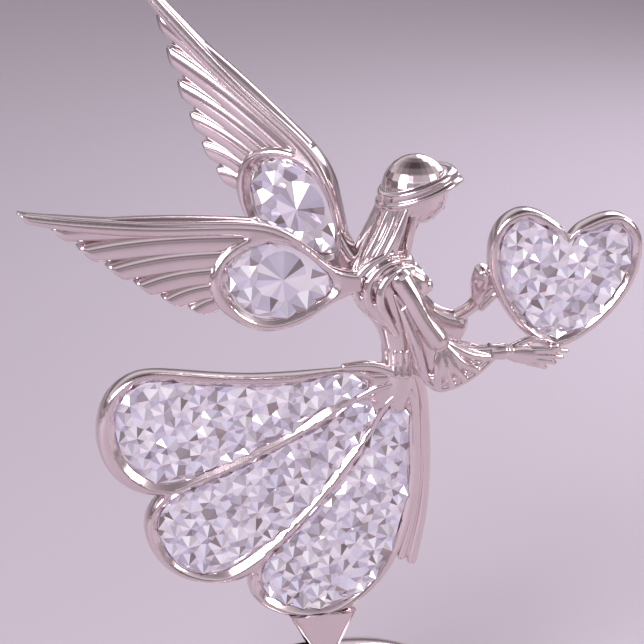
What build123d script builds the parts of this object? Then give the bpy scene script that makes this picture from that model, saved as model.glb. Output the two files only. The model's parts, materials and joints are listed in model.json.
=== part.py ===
from build123d import *
import math
import os

# Hood ornament: a winged figure holding a heart, cast in plated zinc with clear faceted
# inserts, on a sprung fold-back base that two studs fasten to a car's hood.
# Millimetres. +Z up, +X the way the figure faces, -Y the figure's right.
# Origin: the middle of the face that lies on the hood, straight under the hinge pin.

# ---- driving dimensions -------------------------------------------------------------
# base and its fixings
base_length = 82.0           # nose to tail of the whole teardrop
base_width = 30.0
base_top = 13.0              # highest point of the base above the hood
gasket_thickness = 1.5
stud_spacing = 46.0
stud_diameter = 6.0
collar_diameter = 8.0        # the studs' collars, which locate the base in the hood
collar_reach = 0.8           # how far a collar passes the hood's outer face
collar_hole_diameter = 11.4  # the gasket's holes round the collars
stud_top = 7.0
stud_bottom = -16.0
hood_grip = 2.4              # hood skin and its reinforcement
flat_washer_diameter = 14.0
flat_washer_thickness = 1.2
spring_washer_diameter = 10.8
spring_washer_thickness = 1.6
washer_clearance = 0.2
washer_slit = 0.8            # the gap in a spring washer
washer_slit_turn = 18.0      # degrees off square
nut_across_flats = 10.0
nut_height = 5.0
edge_chamfer = 0.5           # on the ends of studs and nuts

# hinge
pin_height = 5.2
pin_diameter = 3.0
pin_length = 24.0
pin_clearance = 0.05         # radial, between the pin and the foot's bore
pin_chamfer = 0.3
tilt_back = 25.0             # degrees
knuckle_radius = 4.4
knuckle_width = 8.0
side_clearance = 0.3         # between the knuckle and each cheek of the base
slot_allowance = 0.6         # above the base, for the neck's widening where it leaves the slot
spring_wire = 0.8
spring_mean_diameter = 5.2
spring_turns = 2.0
spring_pitch = 1.1
spring_gap = 0.4             # between the spring and what stands round it

# foot
foot_neck_length = 8.0
foot_neck_top = 14.5
foot_saddle_length = 17.0
foot_saddle_width = 8.8
foot_top = 23.6
foot_corner = 2.0
tenon_length = 8.0
tenon_thickness = 3.0
tenon_depth = 7.0
rivet_diameter = 1.8
rivet_spacing = 4.4
rivet_length = 8.4

# skirt, heart and wings
skirt_depth = 6.0
skirt_round = 1.0
sash_depth = 4.8
heart_depth = 5.0
heart_rim = 2.5
heart_insert_thickness = 3.1
heart_tilt = 6.5             # degrees, leaning forward
heart_tip = (57.0, 88.3)
ledge_width = 0.8            # the step at the back of each window that an insert rests on
ledge_thickness = 1.2
insert_thickness = 3.4
insert_gap = 0.05            # bond line round an insert
wing_bar_depth = 6.6
wing_rim_depth = 5.6
feather_depth = 4.4
right_wing_root = (6.7, -4.5, 111.4)
right_wing_splay = -8.0      # degrees, outward from straight back
right_wing_raise = 0.0       # degrees, turned up in its own plane
left_wing_root = (8.8, 1.5, 113.3)
left_wing_splay = 32.0
left_wing_raise = 33.0
wing_tenon_diameter = 3.4
wing_tenon_length = 5.0
wing_pin_diameter = 1.4
wing_pin_length = 8.0
wing_tenon_start = 4.0       # how far inside the wing the tenon's core begins

# figure
waist_height = 88.0
neck_height = 116.0
skull_middle = (23.0, 131.0)  # X, Z
skull_half_length = 8.4
skull_half_height = 8.2
face_width = 8.8
waist_screw_diameter = 3.0
waist_screw_reach = 9.0      # into each of the two castings
heart_pin_diameter = 1.2
heart_pin_length = 5.0

os.makedirs("parts", exist_ok=True)


def save(part, name):
    part.label = name
    export_step(part, f"parts/{name}.step")


def inset(points, distance, closed=True):
    """The points of an outline moved in by a distance; the outline runs anticlockwise."""
    line = Edge.make_spline([Vector(*point) for point in points], periodic=closed)
    moved = []
    for point in points:
        along = line.tangent_at(line.param_at_point(Vector(*point)))
        moved.append(Vector(*point) + along.rotate(Axis.Z, 90) * distance)
    return moved


# ---- base ---------------------------------------------------------------------------
base_axis = base_top - base_width / 2
nose = base_length * 0.44
tail = nose - base_length
half = base_width / 2

with BuildPart() as base_casting:
    with BuildSketch(Plane.XZ) as teardrop:
        with BuildLine():
            Spline(
                (nose, base_axis),
                (nose - 0.08 * base_length, base_axis + 0.58 * half),
                (nose - 0.22 * base_length, base_axis + 0.90 * half),
                (nose - 0.40 * base_length, base_axis + half),
                (nose - 0.64 * base_length, base_axis + 0.82 * half),
                (nose - 0.84 * base_length, base_axis + 0.42 * half),
                (tail, base_axis),
                tangents=((0, 1), (-2, -1)),
            )
            Line((tail, base_axis), (nose, base_axis))
        make_face()
    revolve(axis=Axis((0, 0, base_axis), (1, 0, 0)))
    split(bisect_by=Plane.XY.offset(gasket_thickness), keep=Keep.TOP)
    # tapped bores for the studs
    with BuildSketch(Plane.XY.offset(gasket_thickness)):
        with GridLocations(stud_spacing, 0, 2, 1):
            Circle(stud_diameter / 2)
    extrude(amount=stud_top - gasket_thickness, mode=Mode.SUBTRACT)
    # slot for the foot's neck; its two ends are the stops of the tilt
    neck_half = foot_neck_length / 2
    lean = math.radians(tilt_back)
    rise = base_top - pin_height + slot_allowance
    slot_front = neck_half + side_clearance
    slot_rear = -(neck_half / math.cos(lean) + rise * math.tan(lean) + side_clearance)
    slot_width = knuckle_width + 2 * side_clearance
    with BuildSketch(Plane.XY.offset(gasket_thickness)):
        with Locations(((slot_front + slot_rear) / 2, 0)):
            Rectangle(slot_front - slot_rear, slot_width)
    extrude(amount=base_top, mode=Mode.SUBTRACT)
    # room for the knuckle, wider than the neck
    with BuildSketch(Plane.XZ):
        with Locations((0, pin_height)):
            Circle(knuckle_radius + side_clearance)
    extrude(amount=slot_width / 2, both=True, mode=Mode.SUBTRACT)
    # pockets for the two springs
    spring_room = spring_mean_diameter / 2 + spring_wire / 2 + spring_gap
    spring_width = spring_turns * spring_pitch + spring_wire + 2 * spring_gap
    pocket_half = slot_width / 2 + spring_width
    with BuildSketch(Plane.XZ):
        with Locations((0, pin_height)):
            Circle(spring_room)
        with Locations((0, (gasket_thickness + pin_height) / 2)):
            Rectangle(2 * spring_room, pin_height - gasket_thickness)
    extrude(amount=pocket_half, both=True, mode=Mode.SUBTRACT)
    # bore for the hinge pin
    with BuildSketch(Plane.XZ):
        with Locations((0, pin_height)):
            Circle(pin_diameter / 2)
    extrude(amount=pin_length / 2, both=True, mode=Mode.SUBTRACT)
save(base_casting.part, "base_casting")

with BuildPart() as base_gasket:
    with BuildSketch() as gasket_sheet:
        with BuildLine():
            edge_points = [
                (nose - 0.05 * base_length, 0),
                (nose - 0.14 * base_length, 0.60 * half),
                (nose - 0.40 * base_length, 0.86 * half),
                (nose - 0.64 * base_length, 0.68 * half),
                (nose - 0.82 * base_length, 0.30 * half),
                (tail + 0.08 * base_length, 0),
            ]
            Spline(*edge_points, tangents=((0, 1), (-1, -0.5)))
            mirror(about=Plane.XZ)
        make_face()
        Rectangle(2 * spring_room, 2 * pocket_half, mode=Mode.SUBTRACT)
        with GridLocations(stud_spacing, 0, 2, 1):
            Circle(collar_hole_diameter / 2, mode=Mode.SUBTRACT)
    extrude(amount=gasket_thickness)
save(base_gasket.part, "base_gasket")

with BuildPart() as hinge_pin:
    with BuildSketch(Plane.XZ):
        with Locations((0, pin_height)):
            Circle(pin_diameter / 2)
    extrude(amount=pin_length / 2, both=True)
    chamfer(hinge_pin.edges(), pin_chamfer)
save(hinge_pin.part, "hinge_pin")

with BuildPart() as tilt_springs:
    for side in (-1, 1):
        start = slot_width / 2 + spring_gap + spring_wire / 2
        coil_start = (0, side * start, pin_height)
        with BuildLine() as coil:
            Helix(
                pitch=spring_pitch,
                height=spring_turns * spring_pitch,
                radius=spring_mean_diameter / 2,
                center=coil_start,
                direction=(0, side, 0),
            )
        with BuildSketch(Plane(origin=coil.line @ 0, z_dir=coil.line % 0)):
            Circle(spring_wire / 2)
        sweep(path=coil.line, is_frenet=True)
save(tilt_springs.part, "tilt_springs")

with BuildPart() as hood_studs:
    with BuildSketch(Plane.XY.offset(stud_bottom)):
        with GridLocations(stud_spacing, 0, 2, 1):
            Circle(stud_diameter / 2)
    extrude(amount=stud_top - stud_bottom)
    chamfer(hood_studs.edges().group_by(Axis.Z)[0], edge_chamfer)
    with BuildSketch(Plane.XY.offset(-collar_reach)):
        with GridLocations(stud_spacing, 0, 2, 1):
            Circle(collar_diameter / 2)
    extrude(amount=collar_reach + gasket_thickness)
save(hood_studs.part, "hood_studs")

washer_bore = stud_diameter / 2 + washer_clearance
with BuildPart() as flat_washers:
    with BuildSketch(Plane.XY.offset(-hood_grip - flat_washer_thickness)):
        with GridLocations(stud_spacing, 0, 2, 1):
            Circle(flat_washer_diameter / 2)
            Circle(washer_bore, mode=Mode.SUBTRACT)
    extrude(amount=flat_washer_thickness)
save(flat_washers.part, "flat_washers")

spring_washer_top = -hood_grip - flat_washer_thickness
with BuildPart() as spring_washers:
    with BuildSketch(Plane.XY.offset(spring_washer_top - spring_washer_thickness)):
        with GridLocations(stud_spacing, 0, 2, 1):
            Circle(spring_washer_diameter / 2)
            Circle(washer_bore, mode=Mode.SUBTRACT)
            with Locations((0, spring_washer_diameter / 2)):
                Rectangle(washer_slit, spring_washer_diameter, rotation=washer_slit_turn,
                          mode=Mode.SUBTRACT)
    extrude(amount=spring_washer_thickness)
save(spring_washers.part, "spring_washers")

nut_top = spring_washer_top - spring_washer_thickness
with BuildPart() as hex_nuts:
    with BuildSketch(Plane.XY.offset(nut_top - nut_height)):
        with GridLocations(stud_spacing, 0, 2, 1):
            RegularPolygon(nut_across_flats / 2, 6, major_radius=False)
    extrude(amount=nut_height)
    chamfer(hex_nuts.edges().group_by(Axis.Z)[-1], edge_chamfer)
    with BuildSketch(Plane.XY.offset(nut_top - nut_height)):
        with GridLocations(stud_spacing, 0, 2, 1):
            Circle(stud_diameter / 2)
    extrude(amount=nut_height, mode=Mode.SUBTRACT)
save(hex_nuts.part, "hex_nuts")

# ---- skirt --------------------------------------------------------------------------
# Three petals fan back from the waist. Points are (X, Z) on the skirt's mid plane. A petal's
# line is open at the waist, where the hub closes it.
petals = [
    [(17, 86.6), (1, 87), (-18, 87.4), (-36, 89.9), (-45, 90), (-51.4, 86), (-54.8, 77),
     (-52.7, 66.6), (-45, 59.6), (-34, 58.6), (-20, 62.8), (-4, 70), (10, 78), (17, 82.5)],
    [(18, 85), (3, 77.4), (-10, 70.2), (-28, 62.8), (-39, 59), (-43.6, 53), (-42, 43),
     (-36, 36.6), (-27.4, 33.8), (-19.4, 34.6), (-12, 40), (0, 51.5), (11, 66), (17.5, 79)],
    [(16.5, 82), (9.6, 68.4), (1, 56.8), (-9.8, 44.8), (-16.6, 38), (-18.8, 32), (-15, 26.2),
     (-7.5, 22.6), (0, 21.8), (7.7, 24.4), (16.6, 33), (22.2, 47), (24, 62), (23.8, 72), (23, 82)],
]
windows = {
    "upper": [(11, 83.4), (8.6, 85.4), (-4, 85), (-20.5, 85.2), (-33, 86.8), (-44, 87.6),
              (-49, 83.8), (-50.6, 77.1), (-49.2, 70.2), (-45.2, 64.6), (-39, 61.4),
              (-30.5, 62.9), (-18.3, 67.8), (-5, 74), (4.6, 79.4)],
    "middle": [(12.2, 77.6), (10.2, 79.2), (3.6, 75.6), (-6, 70.6), (-18, 64.8), (-31, 60),
               (-38, 56.6), (-40.9, 51.6), (-39.6, 45.4), (-36.6, 40.2), (-32, 37),
               (-25.8, 36.6), (-18.6, 40), (-10, 46.4), (0.8, 58), (8.4, 68)],
    "lower": [(18.8, 77.6), (15.6, 75.8), (11.6, 69), (6.4, 60.4), (-1.6, 51.5), (-10, 42.8),
              (-14.8, 37.4), (-15.6, 32.4), (-12, 27.8), (-4.9, 24.8), (1.4, 24.6), (8, 26.8),
              (14, 32.4), (18, 40.6), (20.6, 50), (21.7, 60), (21.4, 70), (20.7, 76)],
}
sash_outer = [(25.2, 81), (26.5, 68), (26.7, 58.4), (25.6, 47.5), (23, 33.2)]
sash_inner = [(19.6, 34.6), (22.2, 44.5), (23.2, 56), (23.2, 66), (21.4, 81)]
waist_middle = 19.4
waist_half_length = 4.2
hub_base = 79.4
tenon_middle = -0.4
tenon_base = 16.0
rivet_height = tenon_base + 2.4
half_depth = skirt_depth / 2
ledge_plane = half_depth - ledge_thickness
pocket_depth = skirt_depth - ledge_thickness

with BuildPart() as skirt_frame:
    for outline in petals:
        with BuildPart(mode=Mode.PRIVATE) as plate:
            with BuildSketch(Plane.XZ):
                with BuildLine():
                    Spline(*outline)
                    Line(outline[-1], outline[0])
                make_face()
            extrude(amount=half_depth, both=True)
            fillet(plate.edges().filter_by(GeomType.BSPLINE), skirt_round)
        add(plate.part)
    # hub under the waist
    with BuildSketch(Plane.XY.offset(hub_base)):
        with Locations((waist_middle + 0.2, 0)):
            Ellipse(waist_half_length + 0.6, half_depth)
    with BuildSketch(Plane.XY.offset(waist_height)):
        with Locations((waist_middle, 0)):
            Ellipse(waist_half_length, waist_half_length)
    loft()
    # tail of the sash, which hangs behind the third petal
    with BuildSketch(Plane.XZ):
        with BuildLine():
            Spline(*sash_outer)
            Line(sash_outer[-1], sash_inner[0])
            Spline(*sash_inner)
            Line(sash_inner[-1], sash_outer[0])
        make_face()
    extrude(amount=sash_depth / 2, both=True)
    # window pockets, each open at the back inside a narrow ledge
    for outline in windows.values():
        with BuildSketch(Plane.XZ.offset(half_depth)):
            with BuildLine():
                Spline(*outline, periodic=True)
            make_face()
        extrude(amount=-pocket_depth, mode=Mode.SUBTRACT)
        with BuildSketch(Plane.XZ.offset(-half_depth)):
            with BuildLine():
                Spline(*inset(outline, ledge_width), periodic=True)
            make_face()
        extrude(amount=skirt_depth, mode=Mode.SUBTRACT)
    # tenon that the foot holds
    with BuildSketch(Plane.XZ):
        with Locations((tenon_middle, tenon_base + tenon_depth / 2)):
            Rectangle(tenon_length, tenon_depth)
    extrude(amount=tenon_thickness / 2, both=True)
    with BuildSketch(Plane.XZ):
        with Locations((tenon_middle, rivet_height)):
            with GridLocations(rivet_spacing, 0, 2, 1):
                Circle(rivet_diameter / 2)
    extrude(amount=half_depth, both=True, mode=Mode.SUBTRACT)
    # socket for the waist screw
    with BuildSketch(Plane.XY.offset(waist_height)):
        with Locations((waist_middle, 0)):
            Circle(waist_screw_diameter / 2)
    extrude(amount=-waist_screw_reach, mode=Mode.SUBTRACT)
save(skirt_frame.part, "skirt_frame")

with BuildPart() as foot_casting:
    # knuckle on the hinge pin
    with BuildSketch(Plane.XZ):
        with Locations((0, pin_height)):
            Circle(knuckle_radius)
    extrude(amount=knuckle_width / 2, both=True)
    with BuildSketch(Plane.XY.offset(pin_height)):
        Rectangle(foot_neck_length, knuckle_width)
    extrude(amount=foot_neck_top - pin_height)
    # saddle that takes the skirt
    with BuildSketch(Plane.XY.offset(foot_neck_top)):
        RectangleRounded(foot_neck_length, knuckle_width, foot_corner)
    with BuildSketch(Plane.XY.offset(foot_top)):
        with Locations((tenon_middle, 0)):
            RectangleRounded(foot_saddle_length, foot_saddle_width, foot_corner)
    loft()
    with BuildSketch(Plane.XZ):
        with Locations((0, pin_height)):
            Circle(pin_diameter / 2 + pin_clearance)
    extrude(amount=knuckle_width, both=True, mode=Mode.SUBTRACT)
    with BuildSketch(Plane.XZ):
        with Locations((tenon_middle, rivet_height)):
            with GridLocations(rivet_spacing, 0, 2, 1):
                Circle(rivet_diameter / 2)
    extrude(amount=foot_saddle_width, both=True, mode=Mode.SUBTRACT)
    add(skirt_frame.part, mode=Mode.SUBTRACT)
save(foot_casting.part, "foot_casting")

with BuildPart() as foot_rivets:
    with BuildSketch(Plane.XZ):
        with Locations((tenon_middle, rivet_height)):
            with GridLocations(rivet_spacing, 0, 2, 1):
                Circle(rivet_diameter / 2)
    extrude(amount=rivet_length / 2, both=True)
save(foot_rivets.part, "foot_rivets")

for name, outline in windows.items():
    with BuildPart() as insert:
        with BuildSketch(Plane.XZ.offset(-ledge_plane)):
            with BuildLine():
                Spline(*inset(outline, insert_gap), periodic=True)
            make_face()
        extrude(amount=insert_thickness)
    save(insert.part, f"skirt_insert_{name}")

# ---- heart --------------------------------------------------------------------------
# Right half, from the tip round the lobe to the cleft, in the heart's own plane.
heart_half = [(0, 0), (5.2, 2.4), (10.6, 6.6), (15, 12), (18, 18), (19.2, 24.6), (17.8, 31),
              (11.4, 35.2), (3.6, 32.4), (0, 28.4)]
heart_plane = Plane(
    origin=(heart_tip[0], 0, heart_tip[1]),
    x_dir=Vector(1, 0, 0).rotate(Axis.Y, heart_tilt),
    z_dir=(0, -1, 0),
)
half_heart_depth = heart_depth / 2
heart_pocket = heart_depth - ledge_thickness


def heart_face(distance):
    """The heart's face, drawn a distance inside its outer line."""
    points = inset(heart_half, distance, closed=False)
    points[0] = Vector(0, heart_half[0][1] + 1.2 * distance)
    points[-1] = Vector(0, heart_half[-1][1] - 0.8 * distance)
    with BuildSketch(mode=Mode.PRIVATE) as face:
        with BuildLine():
            Spline(*points, tangents=((1, 0.4), (-0.6, -1)))
            Line(points[-1], points[0])
        make_face()
        mirror(about=Plane.YZ)
    return face.sketch


# Where each hand is pinned to the heart's rim: X, Z and the side it is pinned from.
heart_pin_places = [(56.6, 90.0, 1), (40.2, 107.4, -1)]
with BuildPart() as heart_pins:
    for x, z, side in heart_pin_places:
        with BuildSketch(Plane.XZ.offset(side * (half_heart_depth - heart_pin_length / 2))):
            with Locations((x, z)):
                Circle(heart_pin_diameter / 2)
        extrude(amount=side * heart_pin_length)
save(heart_pins.part, "heart_pins")

with BuildPart() as heart_frame:
    with BuildSketch(heart_plane.offset(-half_heart_depth)):
        add(heart_face(0))
    extrude(amount=heart_depth)
    with BuildSketch(heart_plane.offset(half_heart_depth)):
        add(heart_face(heart_rim))
    extrude(amount=-heart_pocket, mode=Mode.SUBTRACT)
    with BuildSketch(heart_plane.offset(-half_heart_depth)):
        add(heart_face(heart_rim + ledge_width))
    extrude(amount=heart_depth, mode=Mode.SUBTRACT)
    add(heart_pins.part, mode=Mode.SUBTRACT)
save(heart_frame.part, "heart_frame")

with BuildPart() as heart_insert:
    with BuildSketch(heart_plane.offset(half_heart_depth - heart_pocket)):
        add(heart_face(heart_rim + insert_gap))
    extrude(amount=heart_insert_thickness)
save(heart_insert.part, "heart_insert")

# ---- figure -------------------------------------------------------------------------
# Each row: height, middle of the section in X, half length in X, half width in Y.
torso_sections = [
    (waist_height, waist_middle, waist_half_length, waist_half_length),
    (98, 18.6, 4.8, 4.8),
    (107, 16.2, 8.6, 7.6),
    (112, 14.8, 8.0, 7.8),
    (neck_height, 15.0, 5.2, 4.6),
]
with BuildPart() as torso:
    for height, middle, half_x, half_y in torso_sections:
        with BuildSketch(Plane.XY.offset(height)):
            with Locations((middle, 0)):
                Ellipse(half_x, half_y)
    loft()

with BuildPart() as head:
    for height, middle, half_x, half_y in [
        (neck_height, 15.0, 5.2, 4.6),
        (122, 17.8, 4.8, 4.8),
        (128, 20.6, 5.4, 5.2),
    ]:
        with BuildSketch(Plane.XY.offset(height)):
            with Locations((middle, 0)):
                Ellipse(half_x, half_y)
    loft()
    with BuildSketch(Plane.XZ):
        with Locations(skull_middle):
            Ellipse(skull_half_length, skull_half_height)
            Rectangle(3 * skull_half_length, skull_half_height, mode=Mode.SUBTRACT,
                      align=(Align.CENTER, Align.MAX))
    revolve(axis=Axis((skull_middle[0], 0, skull_middle[1]), (1, 0, 0)))
    with BuildSketch(Plane.XZ):
        with BuildLine():
            Polyline((19, 134), (33.4, 133.6), (33, 132), (29.4, 129.6), (29, 125.4), (26, 122.8),
                     (20, 124.4), close=True)
        make_face()
    extrude(amount=face_width / 2, both=True)
save(head.part, "head")


def limb(points, sections):
    """Loft through ellipses set square to a path; each section is half width, half height."""
    with BuildPart(mode=Mode.PRIVATE) as piece:
        for index, (point, section) in enumerate(zip(points, sections)):
            before = Vector(points[max(index - 1, 0)])
            after = Vector(points[min(index + 1, len(points) - 1)])
            along = after - before
            across = Vector(0, 0, 1).cross(along)
            with BuildSketch(Plane(origin=point, x_dir=across, z_dir=along)):
                Ellipse(section[0], section[1])
        loft()
    return piece.part


right_arm_path = [
    (17.5, -7.0, 110.5), (21.5, -8.4, 104), (25.2, -9.2, 97.6), (31, -8.6, 89.8),
    (39, -7.0, 88.2), (46.5, -5.4, 88.4), (54, -4.0, 87.4), (61.2, -3.6, 87.8),
]
right_arm_sections = [(2.6, 3.0), (2.7, 2.7), (3.0, 3.6), (2.8, 6.2), (2.4, 4.0), (1.6, 2.0),
                      (1.7, 2.8), (1.0, 1.2)]
left_arm_path = [
    (17.5, 7.0, 109.5), (23, 8.6, 103), (29.5, 9.0, 96.4), (36.5, 7.8, 96.0),
    (40.0, 5.6, 102.0), (41.6, 4.0, 108.6),
]
left_arm_sections = [(2.6, 3.0), (2.7, 2.7), (3.0, 3.2), (3.0, 4.2), (1.7, 1.9), (1.4, 2.0)]

# waist screw, drawn as a plain stud that both castings screw onto
with BuildPart() as waist_screw:
    with BuildSketch(Plane.XY.offset(waist_height - waist_screw_reach)):
        with Locations((waist_middle, 0)):
            Circle(waist_screw_diameter / 2)
    extrude(amount=2 * waist_screw_reach)
save(waist_screw.part, "waist_screw")

# ---- wings --------------------------------------------------------------------------
# One casting shape for both sides. Points are (out from the root, up) in the wing's plane.
bar_top = [(8.5, 5.9), (12.2, 9.5), (17, 13.2), (21.9, 15.6), (27.9, 17), (37.4, 18),
           (49.1, 19.1), (60.6, 20.8), (72, 22.9), (79.5, 24.6)]
bar_bottom = [(78, 22.2), (60.6, 17.8), (49.1, 16.1), (37.4, 15), (27.9, 13.8), (20, 11.2),
              (13, 6.6)]
rim_outer = [(-2, 2), (4.8, 3.5), (8.5, 5.9), (12.2, 9.5), (17, 13.2), (21.9, 14.4), (29, 13),
             (34, 9), (36, 4), (34.6, -1.6), (31.1, -5.6), (27, -8.3), (22.1, -10), (17.2, -9.8),
             (12.2, -8.5), (7.2, -5.6), (2.2, -3.7), (-2, -3.3)]
stone_window = [(25, 11.2), (20.7, 11.4), (15.8, 9.8), (10.9, 6.2), (7.2, 2.4), (5.6, -1.1),
                (7.6, -3.3), (11, -5), (15.9, -6.8), (21.3, -7.4), (25.7, -6), (29.3, -3),
                (32, 0.8), (33, 4), (31.6, 7.6), (28.4, 10.1)]
# Feathers from the bar down: where each starts at the rim, where it ends, its width.
feathers = [
    ((24, 14.6), (70.5, 18.8), 4.4),
    ((29, 12), (64.2, 13.4), 4.6),
    ((32, 8.6), (57.6, 8.2), 4.6),
    ((33.4, 4.8), (51, 3.6), 4.2),
    ((33.4, 1.2), (44.6, -0.4), 4.0),
    ((32.4, -2), (38.2, -3.4), 3.6),
]


def wing_plane(root, splay, lift):
    back = Vector(-1, 0, 0).rotate(Axis.Z, -splay)
    side = back.cross(Vector(0, 0, 1))
    out = back.rotate(Axis((0, 0, 0), side), lift)
    up = Vector(0, 0, 1).rotate(Axis((0, 0, 0), side), lift)
    return Plane(origin=root, x_dir=out, z_dir=out.cross(up))


def wing_casting(plane):
    """The wing's frame; its stone shows on the side that the plane's normal leaves."""
    with BuildPart(mode=Mode.PRIVATE) as wing:
        for start, end, width in feathers:
            run = Vector(*end) - Vector(*start)
            turn = math.degrees(math.atan2(run.Y, run.X))
            with BuildSketch(plane):
                with Locations(Vector(*start) + run / 2):
                    SlotCenterToCenter(run.length, width, rotation=turn)
            extrude(amount=feather_depth / 2, both=True)
        with BuildSketch(plane):
            with BuildLine():
                Spline(*bar_top)
                Line(bar_top[-1], bar_bottom[0])
                Spline(*bar_bottom)
                Line(bar_bottom[-1], bar_top[0])
            make_face()
        extrude(amount=wing_bar_depth / 2, both=True)
        with BuildSketch(plane):
            with BuildLine():
                Spline(*rim_outer)
                Line(rim_outer[-1], rim_outer[0])
            make_face()
        extrude(amount=wing_rim_depth / 2, both=True)
        with BuildSketch(plane.offset(-wing_rim_depth / 2)):
            with BuildLine():
                Spline(*stone_window, periodic=True)
            make_face()
        extrude(amount=wing_rim_depth - ledge_thickness, mode=Mode.SUBTRACT)
        with BuildSketch(plane.offset(wing_rim_depth / 2)):
            with BuildLine():
                Spline(*inset(stone_window, ledge_width), periodic=True)
            make_face()
        extrude(amount=-wing_rim_depth, mode=Mode.SUBTRACT)
    return wing.part


def wing_stone(plane):
    with BuildPart(mode=Mode.PRIVATE) as stone:
        with BuildSketch(plane.offset(wing_rim_depth / 2 - ledge_thickness)):
            with BuildLine():
                Spline(*inset(stone_window, insert_gap), periodic=True)
            make_face()
        extrude(amount=-insert_thickness)
    return stone.part


wing_planes = {
    "right": wing_plane(right_wing_root, right_wing_splay, right_wing_raise),
    "left": wing_plane(left_wing_root, left_wing_splay, left_wing_raise),
}
wing_tenons = []
wing_pin_rods = []
for name, plane in wing_planes.items():
    tenon_plane = Plane(origin=plane.origin, z_dir=-plane.x_dir)
    with BuildPart(mode=Mode.PRIVATE) as tenon:
        with BuildSketch(tenon_plane.offset(-wing_tenon_start)):
            Circle(wing_tenon_diameter / 2)
        extrude(amount=wing_tenon_start + wing_tenon_length)
    pin_middle = plane.origin - plane.x_dir * (wing_tenon_length - wing_tenon_diameter / 2)
    with BuildPart(mode=Mode.PRIVATE) as pin:
        with BuildSketch(Plane(origin=pin_middle, z_dir=plane.y_dir)):
            Circle(wing_pin_diameter / 2)
        extrude(amount=wing_pin_length / 2, both=True)
    with BuildPart() as wing_frame:
        add(wing_casting(plane))
        add(torso.part, mode=Mode.SUBTRACT)
        add(tenon.part)
        # the second tenon is notched where it meets the first inside the torso
        for other_tenon in wing_tenons:
            add(other_tenon, mode=Mode.SUBTRACT)
        add(pin.part, mode=Mode.SUBTRACT)
    save(wing_frame.part, f"{name}_wing_frame")
    save(wing_stone(plane), f"{name}_wing_stone")
    wing_tenons.append(tenon.part)
    wing_pin_rods.append(pin.part)

with BuildPart() as wing_pins:
    for rod in wing_pin_rods:
        add(rod)
save(wing_pins.part, "wing_pins")

with BuildPart() as bored_torso:
    add(torso.part)
    for bore in (*wing_tenons, wing_pins.part, waist_screw.part):
        add(bore, mode=Mode.SUBTRACT)
save(bored_torso.part, "torso")

# ---- arms ---------------------------------------------------------------------------
arms = {
    "right": (right_arm_path, right_arm_sections),
    "left": (left_arm_path, left_arm_sections),
}
for name, (path, sections) in arms.items():
    with BuildPart() as arm:
        add(limb(path, sections))
        add(torso.part, mode=Mode.SUBTRACT)
        add(heart_frame.part, mode=Mode.SUBTRACT)
        add(heart_insert.part, mode=Mode.SUBTRACT)
        add(heart_pins.part, mode=Mode.SUBTRACT)
    save(arm.part, f"{name}_arm")
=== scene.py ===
import json
import math

import bmesh
import bpy
import numpy as np
from mathutils import Matrix, Vector
from mathutils.geometry import delaunay_2d_cdt


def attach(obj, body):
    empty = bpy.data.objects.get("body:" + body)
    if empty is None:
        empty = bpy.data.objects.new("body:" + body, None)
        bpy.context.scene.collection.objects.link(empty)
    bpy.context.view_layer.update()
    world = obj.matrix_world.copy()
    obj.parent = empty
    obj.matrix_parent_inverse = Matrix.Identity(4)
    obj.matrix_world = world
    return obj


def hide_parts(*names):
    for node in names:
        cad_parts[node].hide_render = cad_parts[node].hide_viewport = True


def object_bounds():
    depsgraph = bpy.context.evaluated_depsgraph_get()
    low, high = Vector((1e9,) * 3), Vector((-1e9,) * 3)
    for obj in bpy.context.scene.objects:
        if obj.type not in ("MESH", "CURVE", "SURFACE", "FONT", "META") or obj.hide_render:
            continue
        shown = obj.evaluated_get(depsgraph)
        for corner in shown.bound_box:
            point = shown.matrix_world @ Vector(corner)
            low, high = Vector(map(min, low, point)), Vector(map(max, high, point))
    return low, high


# The looks of a hood ornament: a winged figure with a heart, in bright plated castings set with
# clear faceted stones. The fixed CAD frame gives every place; shapes here are worked in
# millimetres in that frame and turned to metres as each mesh is made.

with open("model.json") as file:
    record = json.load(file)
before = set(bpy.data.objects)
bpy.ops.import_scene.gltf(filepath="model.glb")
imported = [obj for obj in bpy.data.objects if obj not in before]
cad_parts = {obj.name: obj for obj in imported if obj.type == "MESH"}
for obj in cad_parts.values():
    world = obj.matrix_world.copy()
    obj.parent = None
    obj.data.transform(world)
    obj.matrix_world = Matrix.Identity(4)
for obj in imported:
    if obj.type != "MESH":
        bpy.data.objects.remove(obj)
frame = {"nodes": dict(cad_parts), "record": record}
cad_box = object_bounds()
MM = 0.001
NODES = frame["nodes"]


# ---- plain mesh helpers -----------------------------------------------------------------
def node_mesh(name):
    """A merged copy of a CAD node's mesh, in millimetres."""
    mesh = bmesh.new()
    mesh.from_mesh(NODES[name].data)
    bmesh.ops.scale(mesh, vec=(1 / MM,) * 3, verts=mesh.verts)
    bmesh.ops.remove_doubles(mesh, verts=mesh.verts, dist=1e-4)
    return mesh


def new_piece(name, points, faces, material, smooth=True):
    """A finished mesh object from points in millimetres."""
    mesh = bpy.data.meshes.new(name)
    mesh.from_pydata([tuple(c * MM for c in p) for p in points], [], faces)
    mesh.validate()
    mesh.materials.append(material)
    mesh.polygons.foreach_set("use_smooth", [smooth] * len(mesh.polygons))
    piece = bpy.data.objects.new(name, mesh)
    bpy.context.scene.collection.objects.link(piece)
    return piece


def outward(piece):
    """Turns every face of a closed piece outwards."""
    mesh = bmesh.new()
    mesh.from_mesh(piece.data)
    bmesh.ops.remove_doubles(mesh, verts=mesh.verts, dist=1e-6)
    bmesh.ops.recalc_face_normals(mesh, faces=mesh.faces)
    mesh.to_mesh(piece.data)
    mesh.free()
    return piece


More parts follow.
